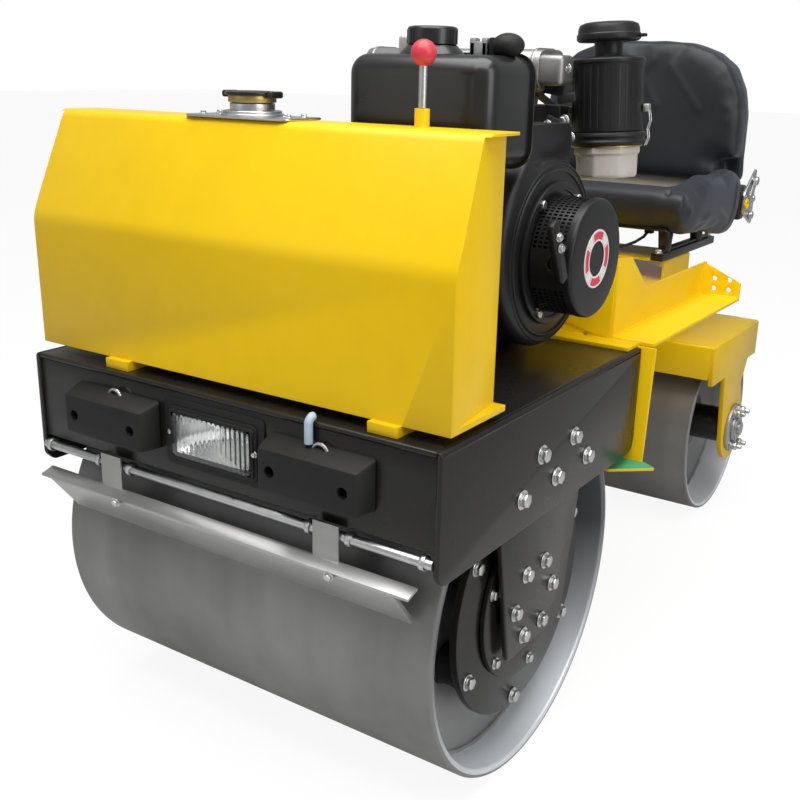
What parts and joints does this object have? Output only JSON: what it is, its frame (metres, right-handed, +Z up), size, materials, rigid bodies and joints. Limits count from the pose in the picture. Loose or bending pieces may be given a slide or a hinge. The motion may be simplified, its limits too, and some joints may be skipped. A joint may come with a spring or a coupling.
{
  "type": "ride-on road roller",
  "caption": "Small ride-on road roller with a wide front drum in a black frame, a narrow steered rear drum, diesel engine, water tank and operator seat.",
  "frame": {"origin": "on the ground, midway along the machine and on its centre plane", "axes": "+Z up; the machine drives towards -Y and +X is its left side"},
  "size_m": [0.827, 1.7174, 1.11],
  "materials": {
    "yellow_paint": "gloss paint",
    "black_paint": "gloss paint",
    "drum_steel": "mill-rolled, satin",
    "zinc": "bright zinc plate",
    "engine_enamel": "semi-gloss enamel",
    "rubber": "matt moulded rubber",
    "seat_vinyl": "soft vinyl",
    "headlight_glass": "clear glass",
    "cream_plastic": "translucent plastic",
    "cast_alloy": "as cast",
    "red_knob": "gloss"
  },
  "bodies": {
    "chassis": {"air_cleaner": "engine_enamel", "fuel_tank": "engine_enamel", "seat_cushion": "seat_vinyl", "recoil_starter": "engine_enamel", "hand_lever": "red_knob", "drain_pipe": "cream_plastic", "steering_column": "black_paint", "seat_frame": "black_paint", "filler_neck": "zinc", "side_rail_left": "yellow_paint", "side_rail_right": "yellow_paint", "filler_cap": "black_paint", "air_cleaner_bowl": "cream_plastic", "ram_barrel": "black_paint", "blower_housing": "engine_enamel", "muffler": "drum_steel", "water_tank": "yellow_paint", "bumper_block_left": "rubber", "bumper_block_right": "rubber", "seat_back": "seat_vinyl", "spine": "yellow_paint", "engine_block": "engine_enamel", "belt_guard": "engine_enamel", "side_plate_left": "black_paint", "side_plate_right": "black_paint", "scraper_rod": "zinc", "cylinder_head": "cast_alloy", "hanger_left": "black_paint", "hanger_right": "black_paint", "rear_leg_left": "yellow_paint", "rear_leg_right": "yellow_paint", "front_scraper": "drum_steel", "seat_base": "yellow_paint", "rear_wall": "yellow_paint", "floor_plate": "yellow_paint", "deck": "black_paint", "front_panel": "black_paint", "rear_panel": "black_paint", "headlight_housing": "black_paint", "headlight_lens": "headlight_glass", "starter_grip": "engine_enamel", "seat_hinge_left": "zinc", "seat_hinge_right": "zinc"},
    "front_roller": {"front_drum": "drum_steel", "front_drum_core": "drum_steel", "front_axle": "black_paint"},
    "rear_yoke": {"yoke_cover": "yellow_paint", "yoke_leg_left": "yellow_paint", "yoke_leg_right": "yellow_paint", "rear_bearing_left": "zinc", "rear_bearing_right": "zinc", "kingpin": "black_paint", "rear_scraper": "drum_steel"},
    "rear_roller": {"rear_drum": "drum_steel", "rear_drum_core": "drum_steel", "rear_axle": "black_paint"},
    "steering_wheel": {"steering_wheel": "rubber"},
    "ram_rod": {"ram_rod": "zinc"}
  },
  "joints": [
    {"name": "front_drum_spin", "type": "hinge", "parent": "chassis", "child": "front_roller", "pos_m": [0, -0.52375, 0.28], "axis": [1, 0, 0], "continuous": true},
    {"name": "rear_yoke_steer", "type": "hinge", "parent": "chassis", "child": "rear_yoke", "pos_m": [0, 0.64625, 0.46], "axis": [0, 0, 1], "range_deg": [-20, 20]},
    {"name": "rear_drum_spin", "type": "hinge", "parent": "rear_yoke", "child": "rear_roller", "pos_m": [0, 0.64625, 0.2125], "axis": [1, 0, 0], "continuous": true},
    {"name": "steering_wheel_turn", "type": "hinge", "parent": "chassis", "child": "steering_wheel", "pos_m": [0, -0.05375, 0.6066], "axis": [0, 0.3069, 0.9518], "range_deg": [-240, 240]},
    {"name": "ram_rod_slide", "type": "slide", "parent": "chassis", "child": "ram_rod", "axis": [0, 1, 0], "range_m": [-0.06, 0.06]}
  ],
  "couplings": [
    {"joint": "steering_wheel_turn", "follows": "rear_yoke_steer", "ratio": -12},
    {"joint": "ram_rod_slide", "follows": "rear_yoke_steer", "m_per_rad": -0.165}
  ]
}
